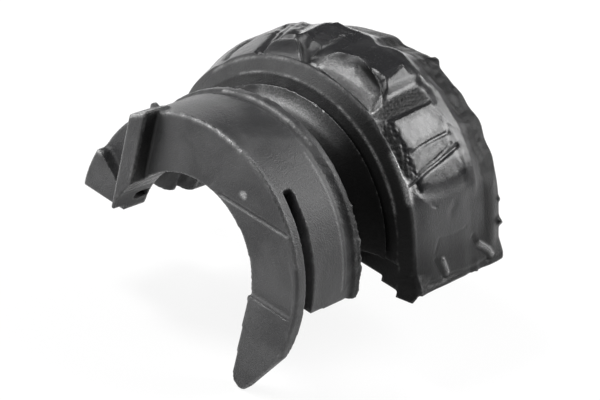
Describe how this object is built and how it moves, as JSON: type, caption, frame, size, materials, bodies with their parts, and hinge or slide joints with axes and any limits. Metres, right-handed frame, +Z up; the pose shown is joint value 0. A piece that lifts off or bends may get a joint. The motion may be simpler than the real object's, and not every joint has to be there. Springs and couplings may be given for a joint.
{
  "type": "sway bar bushing half",
  "caption": "Half of a split rubber bushing for a car's sway bar: grooved block with a collar, a hooked tongue and a half-round bore.",
  "frame": {"origin": "on the bar's axis, in the plane of the collar's front face", "axes": "+Y along the bar to the back, +X towards the end with the tongue, +Z up, away from the other half"},
  "size_m": [0.0582, 0.0509, 0.0438],
  "materials": {
    "moulded_rubber": "matt on the collar and faintly glossy on the block, with moulding flash"
  },
  "bodies": {
    "root": {"bushing_half": "moulded_rubber"}
  },
  "joints": []
}
